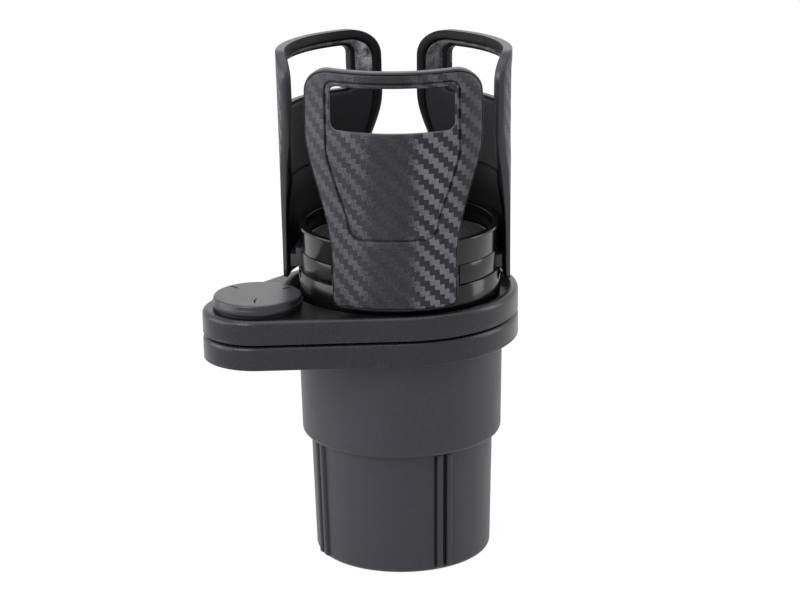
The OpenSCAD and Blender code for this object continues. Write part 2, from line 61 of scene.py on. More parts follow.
# Heights in millimetres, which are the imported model's own
SHOULDER, NECK_TOP, LOWER_TOP = 88.6, 95.4, 98.0
UPPER_Z, UPPER_TOP, TROUGH_Z = 98.6, 108.0, 103.6
DECK, MID_TOP, COLLAR_TOP = 116.0, 123.9, 133.7
CLAW_Z, CLAW_TOP = 110.0, 201.0
WINDOW_Z, WINDOW_TOP = 177.7, 194.9
PIVOT = np.array([-60.8, 0.0])
PLATE_R, PIVOT_END_R = 46.2, 21.2

# Radii, half widths and corners in millimetres
SLEEVE_R, RIB_OFF, RIB_HALF = 35.5, 2.0, 1.3
CLAW_R, SKIN_R, PANEL_R, FRAME_IN_R, LINING_R = 43.2, 43.14, 42.9, 40.2, 38.72
FOOT_HALF, WIDENING, CLAW_HALF = 23.5, 9.9, 33.4
FOOT_CORNER, TOP_CORNER, FRAME_RIM = 3.0, 10.5, 3.3
SIDE_END = WINDOW_Z - 2

# Each claw's turn in degrees, and how far it stands out at rest
CLAWS = {"right": (0, 0.0), "left": (120, 2.6), "front": (240, 0.0)}

# Points along the four stretches of half a claw's outlines
STRETCHES = (14, 46, 26, 26)


# Shapes


def arc(cx, cy, r, start, end, n):
    """Points on a circle of radius r round (cx, cy), from start to end in degrees."""
    a = np.radians(np.linspace(start, end, n))
    return np.stack([cx + r * np.cos(a), cy + r * np.sin(a)], -1)


def chain(*parts):
    """Joins points and runs of points into one array."""
    return np.concatenate([np.atleast_2d(np.asarray(p, float)) for p in parts])


def grid_quads(rows, cols, wrap_rows, wrap_cols):
    """Quads between neighbouring points of a grid; a wrapped direction joins its last to its first."""
    i, j = np.meshgrid(
        np.arange(rows if wrap_rows else rows - 1),
        np.arange(cols if wrap_cols else cols - 1),
        indexing="ij",
    )
    below, right = (i + 1) % rows, (j + 1) % cols
    quads = np.stack(
        [i * cols + j, i * cols + right, below * cols + right, below * cols + j], -1
    )
    return quads.reshape(-1, 4)


class Shape:
    """Points in millimetres, faces, and a UV pair for each point."""

    def __init__(self):
        self.points, self.faces, self.maps, self.count = [], [], [], 0

    def grid(self, points, wrap_rows=False, wrap_cols=True, uv=None, ends=False):
        """Adds a grid of points, rows by columns by 3. With ends, its first and last row are closed."""
        rows, cols = points.shape[:2]
        flat = points.reshape(-1, 3)
        quads = grid_quads(rows, cols, wrap_rows, wrap_cols) + self.count
        self.faces += quads.tolist()
        if ends:
            first = np.arange(cols) + self.count
            self.faces.append(first[::-1].tolist())
            self.faces.append((first + (rows - 1) * cols).tolist())
        self.points.append(flat)
        self.maps.append(np.zeros((len(flat), 2)) if uv is None else uv.reshape(-1, 2))
        self.count += len(flat)
        return self

    def piece(self, name, body, slot, finish, replaces=(), sharp=35):
        """Puts the shape into a mesh object in metres that rides on a body."""
        points = np.concatenate(self.points) * MM
        mesh = bpy.data.meshes.new(name)
        mesh.from_pydata(points.tolist(), [], self.faces)
        layer = mesh.uv_layers.new(name="surface")
        corner = np.zeros(len(mesh.loops), np.int32)
        mesh.loops.foreach_get("vertex_index", corner)
        layer.data.foreach_set("uv", np.concatenate(self.maps)[corner].astype(np.float32).ravel())
        edit = bmesh.new()
        edit.from_mesh(mesh)
        bmesh.ops.remove_doubles(edit, verts=edit.verts, dist=2e-6)
        bmesh.ops.dissolve_degenerate(edit, edges=edit.edges, dist=1e-6)
        edit.to_mesh(mesh)
        edit.free()
        mesh.shade_smooth()
        mesh.set_sharp_from_angle(angle=math.radians(sharp))
        mesh.materials.append(finish)
        thing = bpy.data.objects.new(name, mesh)
        bpy.context.scene.collection.objects.link(thing)
        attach(thing, body)
        if replaces:
            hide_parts(*replaces)
        return thing


def turned(profile, angles, centre=(0.0, 0.0), swell=None):
    """A profile of radius and height turned through the angles in degrees.

    swell, rows by columns, is added to the radius.
    """
    a = np.radians(angles)[None, :]
    r = profile[:, :1] + (0 if swell is None else swell)
    z = np.broadcast_to(profile[:, 1:], np.broadcast(r, a).shape)
    return np.stack([centre[0] + r * np.cos(a), centre[1] + r * np.sin(a), z], -1)


def whole_turn(n):
    """n angles in degrees, evenly round a circle."""
    return np.arange(n) * 360.0 / n


def teardrop(inset, n_big=120, n_small=56, n_side=26):
    """A plate's outline, inset by some millimetres.

    It is an arc about the axis, an arc about the pivot, and the two tangents between them.
    """
    big, small = PLATE_R - inset, PIVOT_END_R - inset
    lean = math.degrees(math.asin((PLATE_R - PIVOT_END_R) / -PIVOT[0]))
    outer = arc(0, 0, big, -90 - lean, 90 + lean, n_big)
    end = arc(PIVOT[0], PIVOT[1], small, 90 + lean, 270 - lean, n_small)
    t = np.linspace(0, 1, n_side + 2)[1:-1, None]
    return chain(outer, outer[-1] + (end[0] - outer[-1]) * t, end, end[-1] + (outer[0] - end[-1]) * t)


def teardrop_rows(profile):
    """Rows of a plate's rim: each row is the outline at one inset and height."""
    rows = []
    for inset, z in profile:
        loop = teardrop(inset)
        rows.append(np.column_stack([loop, np.full(len(loop), z)]))
    return np.array(rows)


def round_rows(profile):
    """Rows on circles about the axis, with their points towards the outline's points."""
    loop = teardrop(0)
    way = loop / np.linalg.norm(loop, axis=1)[:, None]
    return np.array([np.column_stack([way * r, np.full(len(loop), z)]) for r, z in profile])


def walk(points, n):
    """n points evenly along a run of points, both its ends among them."""
    points = np.asarray(points, float)
    along = np.concatenate([[0], np.cumsum(np.linalg.norm(np.diff(points, axis=0), axis=1))])
    at = np.linspace(0, along[-1], n)
    return np.stack([np.interp(at, along, points[:, k]) for k in (0, 1)], -1)


def closed_loop(stretches):
    """A loop of across and height from its right half's four stretches, mirrored for the left half."""
    half = np.concatenate([walk(s, n + 1)[:-1] for s, n in zip(stretches, STRETCHES)])
    top = np.asarray(stretches[-1][-1], float)[None]
    left = half[1:][::-1] * [-1, 1]
    return np.concatenate([half, top, left])


def half_width(z):
    """Half width of a claw: narrow below, then a sine of a power of the height, then its full width."""
    t = np.clip((z - CLAW_Z - 15.8) / 50, 0, 1)
    return FOOT_HALF + WIDENING * np.sin(np.pi / 2 * t**1.9)


def smooth_normals(loop):
    """Unit normals of a closed loop that point out of it."""
    ahead = np.roll(loop, -2, 0) - np.roll(loop, 2, 0)
    n = np.stack([ahead[:, 1], -ahead[:, 0]], -1)
    return n / np.maximum(np.linalg.norm(n, axis=1)[:, None], 1e-9)


def claw_edge():
    """The claw's outline: lower edge, widening side, upper side with its round corner, upper edge."""
    low, high = FOOT_CORNER, TOP_CORNER
    side_z = np.linspace(CLAW_Z + low, SIDE_END, 60)
    top = arc(CLAW_HALF - high, CLAW_TOP - high, high, 0, 45, 12)
    over = arc(CLAW_HALF - high, CLAW_TOP - high, high, 45, 90, 12)
    return closed_loop([
        [[0, CLAW_Z], [FOOT_HALF - low, CLAW_Z]],
        chain(arc(FOOT_HALF - low, CLAW_Z + low, low, -90, 0, 8), np.stack([half_width(side_z), side_z], -1)),
        chain([half_width(SIDE_END), SIDE_END], top),
        chain(over, [0, CLAW_TOP]),
    ])


def panel_edge():
    """The sunk panel's outline: a shield with a narrow rounded chin and straight slanting sides."""
    low, chin, top, right = 137.0, 144.5, 196.6, 24.9
    bottom_half, bottom_corner, shoulder, corner = 11.5, 5.2, 3.2, 3.5
    return closed_loop([
        [[0, low], [bottom_half, low]],
        chain(arc(bottom_half, low + bottom_corner, bottom_corner, -90, -14, 8),
              [17.0, chin], [20.8, 155.5], [23.9, 165.2],
              arc(right - shoulder, 169.6, shoulder, -22, 0, 4), [right, SIDE_END]),
        chain([right, SIDE_END], arc(right - corner, top - corner, corner, 0, 45, 6)),
        chain(arc(right - corner, top - corner, corner, 45, 90, 6), [0, top]),
    ])


def window_edge(grow=0.0):
    """The hand window's outline, a rounded rectangle, made larger by grow."""
    c, w, lo, hi = 3.0 + grow, 23.3 + grow, WINDOW_Z - grow, WINDOW_TOP + grow
    return closed_loop([
        [[0, lo], [w - c - 6, lo]],
        chain([w - c - 6, lo], arc(w - c, lo + c, c, -90, -30, 8)),
        chain(arc(w - c, lo + c, c, -30, 0, 4), arc(w - c, hi - c, c, 0, 45, 6)),
        chain(arc(w - c, hi - c, c, 45, 90, 6), [0, hi]),
    ])


def lining_edge():
    """The outline of the lining in a claw's inner face, inside the frame's rim."""
    low, side, corner = CLAW_Z + 40.2, 5.0, 8.0
    z = np.linspace(low + side, SIDE_END, 40)
    top, wide = CLAW_TOP - FRAME_RIM, half_width(WINDOW_Z) - FRAME_RIM
    return closed_loop([
        [[0, low], [half_width(low) - FRAME_RIM - side, low]],
        chain(arc(half_width(low + side) - FRAME_RIM - side, low + side, side, -90, 0, 8),
              np.stack([half_width(z) - FRAME_RIM, z], -1)),
        chain([wide, SIDE_END], arc(wide - corner, top - corner, corner, 0, 45, 12)),
        chain(arc(wide - corner, top - corner, corner, 45, 90, 12), [0, top]),
    ])


def inner_radius(z):
    """Radius of a claw's inner face: thin below, deep above, with a straight slope between."""
    return np.interp(z, [CLAW_Z + 25.8, CLAW_Z + 39.8], [FRAME_IN_R, 38.6])


def side_depth(z):
    """Depth of a claw's side face, which is thin at the foot and grows towards the top."""
    return np.interp(z, [CLAW_Z, CLAW_Z + 20, CLAW_Z + 50, CLAW_Z + 80], [1.3, 1.5, 2.3, 3.5])


def bent(loop, radius, claw):
    """Bends a loop of across and height round the axis at a radius, and puts it at the claw's place.

    Below the skin the side faces run towards the axis: the half width shrinks by a high power of
    itself there, which leaves the middle and the rounded corners as they are. The claws flare
    outwards a little towards their tops.
    """
    radius = np.broadcast_to(radius, len(loop))
    share = np.abs(loop[:, 0]) / CLAW_HALF
    y = loop[:, 0] * (1 - share**6 * (1 - np.minimum(radius, 42) / 42))
    turn, out = CLAWS[claw]
    flare = 1.2 * ((loop[:, 1] - CLAW_Z) / (CLAW_TOP - CLAW_Z)).clip(0, 1) ** 1.5
    x = np.sqrt(radius**2 - y**2) + out + flare
    a = math.radians(turn)
    c, s = math.cos(a), math.sin(a)
    return np.stack([x * c - y * s, x * s + y * c, loop[:, 1]], -1)


def claw_rows(layers, claw):
    """Rows of a claw's surface and their flat map: metres along the curve, and height."""
    rows = np.array([bent(loop, radius, claw) for loop, radius in layers])
    maps = np.array([
        np.stack([np.arcsin(np.clip(loop[:, 0] / CLAW_R, -1, 1)) * CLAW_R * MM, loop[:, 1] * MM], -1)
        for loop, _ in layers
    ])
    return rows, maps


def between(a, b, n):
    """n loops evenly between two loops, without the two."""
    return [a + (b - a) * t for t in np.linspace(0, 1, n + 2)[1:-1]]


# Shader maths


class Wire:
    """One socket's value, with arithmetic that adds Math nodes."""

    def __init__(self, finish, socket):
        self.finish, self.socket = finish, socket

    def _math(self, operation, a, b=0.0, c=0.0):
        return self.finish.node("ShaderNodeMath", {"operation": operation}, {0: a, 1: b, 2: c})

    def __add__(self, other): return self._math("ADD", self, other)
    def __radd__(self, other): return self._math("ADD", other, self)
    def __sub__(self, other): return self._math("SUBTRACT", self, other)
    def __rsub__(self, other): return self._math("SUBTRACT", other, self)
    def __mul__(self, other): return self._math("MULTIPLY", self, other)
    def __rmul__(self, other): return self._math("MULTIPLY", other, self)
    def __truediv__(self, other): return self._math("DIVIDE", self, other)
    def __rtruediv__(self, other): return self._math("DIVIDE", other, self)
    def __mod__(self, other): return self._math("FLOORED_MODULO", self, other)
    def __rmod__(self, other): return self._math("FLOORED_MODULO", other, self)
    def __lt__(self, other): return self._math("LESS_THAN", self, other)
    def __gt__(self, other): return self._math("GREATER_THAN", self, other)
    def __abs__(self): return self._math("ABSOLUTE", self)
    def floor(self): return self._math("FLOOR", self)
    def sin(self): return self._math("SINE", self)
    def turn_of(self, x): return self._math("ARCTAN2", self, x)
    def least(self, other): return self._math("MINIMUM", self, other)
    def most(self, other): return self._math("MAXIMUM", self, other)

    def ramp(self, low, high):
        """0 below low, 1 above high, and a smooth step between."""
        return self.finish.node("ShaderNodeMapRange", {"interpolation_type": "SMOOTHSTEP"},
                                {"Value": self, "From Min": low, "From Max": high})


class Finish:
    """A material and the one method that adds any node to it."""

    def __init__(self, name):
        self.material = bpy.data.materials.new(name)
        self.material.use_nodes = True
        self.tree = self.material.node_tree
        self.tree.nodes.clear()

    def node(self, kind, settings=None, values=None, out=0):
        """Adds a node: its settings first, then its sockets' values or links. Returns one output."""
        made = self.tree.nodes.new(kind)
        for key, value in (settings or {}).items():
            if key == "stops":
                for k, (at, colour) in enumerate(value):
                    stop = made.color_ramp.elements[k] if k < 2 else made.color_ramp.elements.new(at)
                    stop.position, stop.color = at, (*colour, 1)
            else:
                setattr(made, key, value)
        for key, value in (values or {}).items():
            if isinstance(value, Wire):
                self.tree.links.new(value.socket, made.inputs[key])
            else:
                made.inputs[key].default_value = value
        return Wire(self, made.outputs[out])

    def place(self):
        """Object coordinates in metres."""
        return self.node("ShaderNodeTexCoord", out="Object")

    def facing(self):
        """The face's direction in the object's own space."""
        return self.node("ShaderNodeTexCoord", out="Normal")

    def split(self, vector):
        """The three parts of a vector."""
        first = self.node("ShaderNodeSeparateXYZ", values={0: vector})
        return [Wire(self, first.socket.node.outputs[k]) for k in range(3)]

    def noise(self, scale, detail, at, rough=0.5):
        """Smooth noise from 0 to 1 at a vector."""
        return self.node("ShaderNodeTexNoise", {"noise_dimensions": "3D"},
                         {"Vector": at, "Scale": scale, "Detail": detail, "Roughness": rough})

    def mix(self, factor, a, b):
        """Mixes two colours, each given as three numbers or a wire."""
        wide = [v if isinstance(v, Wire) else (*v, 1) for v in (a, b)]
        return self.node("ShaderNodeMix", {"data_type": "RGBA"}, {0: factor, 6: wide[0], 7: wide[1]}, out=2)

    def bump(self, height, distance, strength):
        """A normal that follows a height map."""
        values = {"Height": height, "Distance": distance, "Strength": strength}
        return self.node("ShaderNodeBump", values=values)

    def principled(self, **values):
        """A Principled shader with these sockets, underscores standing for spaces."""
        named = {key.replace("_", " "): value for key, value in values.items()}
        named = {k: (*v, 1) if isinstance(v, tuple) and len(v) == 3 else v for k, v in named.items()}
        return self.node("ShaderNodeBsdfPrincipled", values=named, out="BSDF")

    def shader(self, **values):
        """Ends the tree in a Principled shader."""
        self.node_output(self.principled(**values))
        return self.material

    def node_output(self, surface):
        """Ends the tree in any surface."""
        output = self.tree.nodes.new("ShaderNodeOutputMaterial")
        self.tree.links.new(surface.socket, output.inputs["Surface"])


def scaled(colour, factor):
    """A colour made brighter or darker by a factor."""
    return tuple(factor * c for c in colour)


def blended(light, dark, share):
    """A colour with its share of the light one, and the rest of the dark one."""
    return tuple(a * share + b * (1 - share) for a, b in zip(light, dark))


def moulded(name, colour, roughness, speckle=1.0, specular=0.4, dust=0.0, flat=0.0, deep=None):
    """Moulded plastic: fine spark-eroded grain, faint clouding, and a little dust on faces that look up.

    flat paints shade on the faces that look up, darkening them towards black. deep is a mask of painted
    shade, where a dull black shader stands in for shade.
    """
    f = Finish(name)
    at = f.place()
    fine = f.noise(1500.0, 2.0, at, 0.6)
    broad = f.noise(46.0, 3.0, at)
    tone = (broad - 0.5) * 0.28 + 1.0 + (fine - 0.5) * speckle
    shade = f.mix((tone * 0.25).most(0.0).least(1.0), (0, 0, 0), scaled(colour, 4))
    up = f.split(f.facing())[2]
    # Painted shade: faces that look up are darkened towards black.
    if flat:
        shade = f.mix(up.ramp(0.9, 0.99) * flat, shade, (0.001, 0.001, 0.001))
    if dust:
        shade = f.mix(up.ramp(0.55, 1.0) * dust * (broad + 0.5), shade, (0.30, 0.30, 0.31))
    rough = (broad - 0.5) * 0.14 + (fine - 0.5) * 0.16 + roughness
    normal = f.bump(fine, 0.00008, 0.7)
    plain = f.principled(Base_Color=shade, Roughness=rough, Specular_IOR_Level=specular, Normal=normal)
    if deep is None:
        f.node_output(plain)
        return f.material
    # Painted shade: where the mask says, a dull black shader stands in for shade.
    black = f.principled(Base_Color=f.mix(fine, (0.001, 0.001, 0.001), (0.004, 0.004, 0.005)),
                         Roughness=rough + 0.2, Specular_IOR_Level=0.12, Normal=normal)
    f.node_output(f.node("ShaderNodeMixShader", values={0: deep(f), 1: plain, 2: black}))
    return f.material


def painted_shade_towards_axis(f):
    """Near 1 where a face looks towards the ring's axis, and 0 elsewhere: the mask of painted shade on the
    claws' inner faces.
    """
    nx, ny, _ = f.split(f.facing())
    x, y, _ = f.split(f.place())
    return 0.95 - (nx * x + ny * y).ramp(-0.03, -0.012) * 0.95


def painted_shade_beside_ribs(f):
    """Near 1 between the two ribs of a pair and just before the first one, and 0 elsewhere: the mask of
    painted shade beside the ribs.

    The place is the arc in millimetres from the middle of the nearest of the four pairs.
    """
    x, y, z = f.split(f.place())
    arc_mm = ((y.turn_of(x) + math.pi / 4) % (math.pi / 2) - math.pi / 4) * SLEEVE_R
    beside = arc_mm.ramp(-4.5, -4.2) - arc_mm.ramp(-3.4, -3.1)
    between_two = arc_mm.ramp(-0.8, -0.5) - arc_mm.ramp(0.6, 0.9)
    return (beside + between_two) * z.ramp(0.001, 0.003) * (1.0 - z.ramp(0.0478, 0.0488)) * 0.9


def twill(name, light, dark, cell):
    """Embossed twill: cells in a stair-step diagonal, lighter and darker. The lighter cells and the flanks'
    lighter tone are painted highlights, strongest on the right flank, and this painted light fades along the
    claw's middle.
    """
    f = Finish(name)
    spot = f.node("ShaderNodeUVMap", {"uv_map": "surface"}, out="UV")
    across, up, _ = f.split(spot)
    place = f.place()
    wobble = (f.noise(260.0, 1.0, place) - 0.5) * 0.00035
    i = ((across + wobble) / cell).floor()
    j = ((up - wobble + 0.0004) / cell).floor()
    in_band = ((i + j) % 4) < 1.5
    grain = f.noise(1700.0, 2.0, place, 0.7)
    broad = f.noise(70.0, 2.0, place)
    # Painted light: the pattern's contrast on the flanks stands in for side lights caught by the tilted
    # cells, more on the right flank and less near the top.
    side = abs(across + 0.001).ramp(0.0055, 0.0135)
    painted_flank_light = side * (across.ramp(-0.008, 0.010) * 0.40 + 0.50) + 0.08
    painted_flank_light = painted_flank_light * (1.0 - up.ramp(0.1935, 0.1965) * 0.6)
    edge_i = abs(((across + wobble) / cell) % 1 - 0.5).ramp(0.40, 0.5)
    edge_j = abs(((up - wobble + 0.0004) / cell) % 1 - 0.5).ramp(0.40, 0.5)
    seam = edge_i.most(edge_j)
    # Painted light: the base tone is lighter on the flanks.
    middle = f.mix(side, blended(light, dark, 0.10), blended(light, dark, 0.38))
    steps = ((0.05, 0.20), (0.25, 0.52), (0.5, 0.55), (0.72, 1.0), (0.81, 0.75), (0.9, 0.10))
    stops = [(at, (v, v, v)) for at, v in steps]
    # Painted highlight: the light cells are brightened in bands across the claw's width.
    painted_highlight_band = f.node("ShaderNodeValToRGB", {"stops": stops}, {0: (across + 0.04) / 0.08})
    pattern = f.mix(in_band, dark, f.mix(painted_highlight_band, scaled(light, 0.3), scaled(light, 1.7)))
    shade = f.mix(painted_flank_light, middle, pattern)
    speck = ((grain - 0.5) * (3.2 - painted_flank_light * 2.0) + (broad - 0.5) * 0.5 + 0.6).most(0.0).least(1.0)
    shade = f.mix(speck, (0.002, 0.002, 0.003), shade)
    rough = 0.52 - in_band * painted_flank_light * 0.12 + (grain - 0.5) * 0.3
    weave = in_band * painted_flank_light * 0.8 + grain * 0.45 - seam * painted_flank_light * 0.25
    return f.shader(Base_Color=shade, Roughness=rough, Specular_IOR_Level=0.34,
                    Normal=f.bump(weave, 0.00016, 0.7))


def polished(name, colour, roughness):
    """Polished black plastic: slow waviness, hairline wipe marks round the ring and faint smears."""
    f = Finish(name)
    at = f.place()
    x, y, z = f.split(at)
    turn = y.turn_of(x)
    smear = f.noise(38.0, 3.0, at)
    hair = f.node("ShaderNodeTexNoise", {"noise_dimensions": "3D"}, {
        "Vector": f.node("ShaderNodeCombineXYZ", values={0: turn * 2.0, 1: z * 2400.0, 2: 0.0}),
        "Scale": 1.0, "Detail": 2.0})
    rough = smear.ramp(0.45, 0.7) * 0.12 + hair * 0.08 + roughness
    shade = f.mix(smear, colour, scaled(colour, 1.6))
    return f.shader(Base_Color=shade, Roughness=rough, Specular_IOR_Level=0.22,
                    Coat_Weight=0.18, Coat_Roughness=0.06, Normal=f.bump(smear, 0.0002, 0.12))


def rubber(name, colour, pitch, painted_light=0.0):
    """Matt rubber: a fine net of raised dots over a soft mottle, with painted light making it pale near the
    claws' tops.
    """
    f = Finish(name)
    at = f.place()
    x, y, z = f.split(at)
    turn = y.turn_of(x)
    waves = 2 * math.pi / pitch
    dots = (turn * (39 * MM) * waves).sin() * ((z + x * 0.2) * waves).sin()
    grain = f.noise(2400.0, 2.0, at, 0.6)
    broad = f.noise(60.0, 3.0, at)
    shade = f.mix(broad * 0.6 + grain * 0.4, scaled(colour, 0.6), scaled(colour, 1.5))
    # Painted light: a pale mottled patch near the claws' tops, strongest in a band of x, stands in for light
    # from above on the lining.
    light_patch = x.ramp(0.001, 0.009) * (1.0 - x.ramp(0.016, 0.022)) * 0.8 + 0.2
    painted_light_mask = z.ramp(0.180, 0.190) * f.noise(230.0, 3.0, at, 0.65).ramp(0.30, 0.66) * light_patch * painted_light
    shade = f.mix(painted_light_mask * ((grain - 0.5) * 3.0 + 0.75).most(0.0).least(1.0), shade, (0.55, 0.55, 0.58))
    return f.shader(Base_Color=shade, Roughness=0.72 + (grain - 0.5) * 0.2, Specular_IOR_Level=0.35,
                    Normal=f.bump(dots * 0.5 + grain * 0.8, 0.00012, 0.6))


def plated(name, colour, roughness):
    """Zinc-plated steel: a cloudy passivation over a very fine grain."""
    f = Finish(name)
    at = f.place()
    cloud = f.noise(300.0, 3.0, at)
    grain = f.noise(5200.0, 1.0, at)
    shade = f.mix(cloud, scaled(colour, 0.75), scaled(colour, 1.2))
    return f.shader(Base_Color=shade, Metallic=1.0, Roughness=cloud * 0.2 + roughness,
                    Normal=f.bump(grain, 0.00003, 0.5))


def nylon(name, colour):
    """Natural nylon: milky, with faint flow marks."""
    f = Finish(name)
    at = f.place()
    flow = f.noise(120.0, 4.0, at)
    shade = f.mix(flow, scaled(colour, 0.85), colour)
    return f.shader(Base_Color=shade, Roughness=flow * 0.15 + 0.42, Normal=f.bump(flow, 0.0001, 0.3))


# Settings


class ClawSettings(bpy.types.PropertyGroup):
    """Colours of the claws and the size of their twill"""

    cell: FloatProperty(name="Twill cell", description="Side of one cell of the embossed twill",
                        default=0.00196, min=0.0008, max=0.004, unit="LENGTH", precision=5)
    # The lighter bands' colour stands for painted highlights on the twill's cells.
    light: FloatVectorProperty(name="Light bands", description="Colour of the twill's lighter bands",
                               subtype="COLOR", default=(0.115, 0.114, 0.130), min=0, max=1)
    dark: FloatVectorProperty(name="Dark bands", description="Colour of the twill's darker bands",
                              subtype="COLOR", default=(0.010, 0.010, 0.014), min=0, max=1)
    frame: FloatVectorProperty(name="Frame", description="Colour of the claws' satin frames",
                               subtype="COLOR", default=(0.018, 0.018, 0.023), min=0, max=1)
    lining: FloatVectorProperty(name="Lining", description="Colour of the claws' dark linings",
                                subtype="COLOR", default=(0.006, 0.006, 0.008), min=0, max=1)


class BodySettings(bpy.types.PropertyGroup):
    """Colours of the base, plates and ring, and the ribs' height"""

    cup: FloatVectorProperty(name="Base cup", description="Colour of the ribbed base cup",
                             subtype="COLOR", default=(0.024, 0.024, 0.030), min=0, max=1)
    plate: FloatVectorProperty(name="Plates", description="Colour of the two teardrop plates",
                               subtype="COLOR", default=(0.012, 0.012, 0.016), min=0, max=1)
    ring: FloatVectorProperty(name="Ring", description="Colour of the polished ring",
                              subtype="COLOR", default=(0.0025, 0.0025, 0.003), min=0, max=1)
    rib_proud: FloatProperty(name="Rib height", description="How far the ribs stand out of the lower sleeve",
                             default=0.0013, min=0.0003, max=0.002, unit="LENGTH", precision=4)


class StageSettings(bpy.types.PropertyGroup):
    """Powers of the lights"""

    key: FloatProperty(name="Key light", description="Power of the light from the upper left",
                       default=10.0, min=0, max=100, unit="POWER")
    side: FloatProperty(name="Side lights", description="Power of the left light; the others follow it",
                        default=10.0, min=0, max=100, unit="POWER")
    room: FloatProperty(name="Room light", description="Strength of the even light from all round",
                        default=0.35, min=0, max=3)


# Operators


class HOLDER_OT_base_cup(bpy.types.Operator):
    """Builds the stepped base cup with its ribs"""

    bl_idname = "holder.base_cup"
    bl_label = "Base cup"

    def execute(self, context):
        settings = context.scene.holder_body
        proud = settings.rib_proud / MM
        off = math.degrees(RIB_OFF / SLEEVE_R)
        centres = np.array([a + s * off for a in (0, 90, 180, 270) for s in (-1, 1)]) % 360
        near = np.linspace(-2.4, 2.4, 25)
        dense = [(c + near) % 360 for c in centres]
        angles = np.unique(np.round(np.concatenate([whole_turn(180), *dense]), 4))
        gap = (angles[None, :] - centres[:, None] + 180) % 360 - 180
        across = np.radians(np.abs(gap)).min(0) * SLEEVE_R
        rib = proud * np.sqrt(np.clip(1 - (across / RIB_HALF) ** 4, 0, 1))
        sleeve = chain(
            [0, 0], [20, 0], arc(32.4, 2.2, 2.2, -90, 0, 9), [34.65, 4.2],
            np.stack([np.linspace(34.7, 35.75, 12), np.linspace(6.4, 47.4, 12)], -1),
            [35.78, 48.4], [35.95, 48.85], [36.3, 49.0])
        outer = chain(
            sleeve, [36.7, 49.0],
            arc(37.2, 51.0, 2.0, -90, 0, 9), [39.24, 53.2],
            np.stack([np.linspace(39.27, 39.87, 8), np.linspace(55, 87, 8)], -1),
            [39.88, 88.0], [39.6, 88.5], [39.2, 88.6], [37.6, 88.6], [37.4, 88.8], [37.4, 95.3], [37.3, 95.4],
            [35.3, 95.4], [35.2, 95.3], [35.2, 87.0], [37.2, 86.0], [37.4, 80.0], [37.0, 51.6],
            [33.9, 51.2], [33.6, 49.0], [32.4, 3.2], [31.8, 2.6], [0, 2.6],
        )
        z = outer[:, 1]
        on_sleeve = np.clip((z - 0.9) / 1.0, 0, 1) * np.clip((49.0 - z) / 0.5, 0, 1)
        on_sleeve[len(sleeve):] = 0
        shape = Shape().grid(turned(outer, angles, swell=on_sleeve[:, None] * rib[None, :]))
        # Painted shade: dark dull strips beside and between the ribs of each pair.
        finish = moulded("base_plastic", tuple(settings.cup), 0.46,
                         speckle=0.9, specular=0.38, deep=painted_shade_beside_ribs)
        shape.piece("base_cup_shell", "base", "satin_black", finish, ["base_cup"])
        return {"FINISHED"}


class HOLDER_OT_plates(bpy.types.Operator):
    """Builds the two teardrop plates with their rounded rims"""

    bl_idname = "holder.plates"
    bl_label = "Plates"

    def execute(self, context):
        colour = tuple(context.scene.holder_body.plate)
        # Painted shade: the plates' faces that look up are darkened towards black.
        finish = moulded("plate_plastic", colour, 0.30, speckle=1.8, specular=0.36, flat=0.85)

        def rim(low, high):
            """Inset and height down a rim: round upper edge, plain side, fine groove, lower edge."""
            return chain(
                arc(2.0, high - 2.0, 2.0, 90, 180, 14), [0.0, high - 3.6], [0.0, low + 1.7],
                [0.06, low + 1.35], [0.10, low + 1.1], [0.0, low + 0.85],
                arc(0.5, low + 0.5, 0.5, 180, 270, 6),
                [2.0, low], [2.1, low + 0.05],
            )

        top = round_rows(chain(
            [30.0, TROUGH_Z], [42.3, TROUGH_Z], [42.8, TROUGH_Z + 0.15], [43.0, TROUGH_Z + 0.6],
            [43.0, UPPER_TOP - 0.35], [43.1, UPPER_TOP - 0.1], [43.35, UPPER_TOP]))
        edge = teardrop_rows(rim(UPPER_Z, UPPER_TOP))
        back = round_rows([[43.5, UPPER_Z + 1.5], [30.0, UPPER_Z + 2.0]])
        Shape().grid(np.concatenate([top, edge, back])[::-1], wrap_rows=True).piece(
            "upper_plate_shell", "upper_arm", "satin_black", finish, ["upper_plate"])

        bore = round_rows(chain(
            [37.45, SHOULDER + 0.05], [37.45, NECK_TOP - 0.1], [41.05, NECK_TOP - 0.1],
            [41.05, LOWER_TOP - 0.3], [41.35, LOWER_TOP]))
        edge = teardrop_rows(rim(SHOULDER, LOWER_TOP))
        Shape().grid(np.concatenate([bore, edge])[::-1], wrap_rows=True).piece(
            "lower_plate_shell", "lower_arm", "satin_black", finish, ["lower_plate"])
        return {"FINISHED"}


